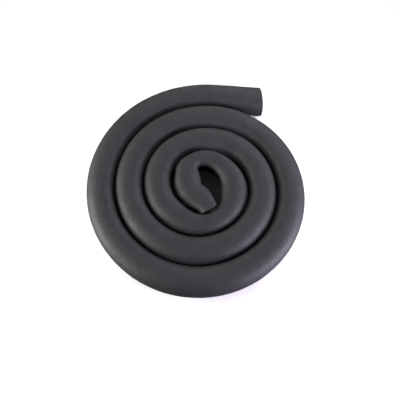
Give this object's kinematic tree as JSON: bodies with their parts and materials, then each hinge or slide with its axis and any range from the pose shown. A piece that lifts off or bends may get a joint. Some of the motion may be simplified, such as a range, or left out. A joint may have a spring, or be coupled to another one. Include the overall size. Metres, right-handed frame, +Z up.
{
  "type": "pipe insulation lagging",
  "caption": "Flexible black foam lagging tube for a 22 mm pipe, one stock length rolled up flat, with its outer end sprung straight and its inner end folded across the eye.",
  "frame": {"origin": "under the middle of the roll's box, on the level surface that it lies on", "axes": "+Z up, square to the flat roll; +X out of the bore at the outer end; +Y completes the frame, and the outer end lies on its positive side"},
  "size_m": [0.3124, 0.3324, 0.04],
  "materials": {
    "foam": "matte"
  },
  "bodies": {
    "root": {"foam_tube": "foam"}
  },
  "joints": []
}
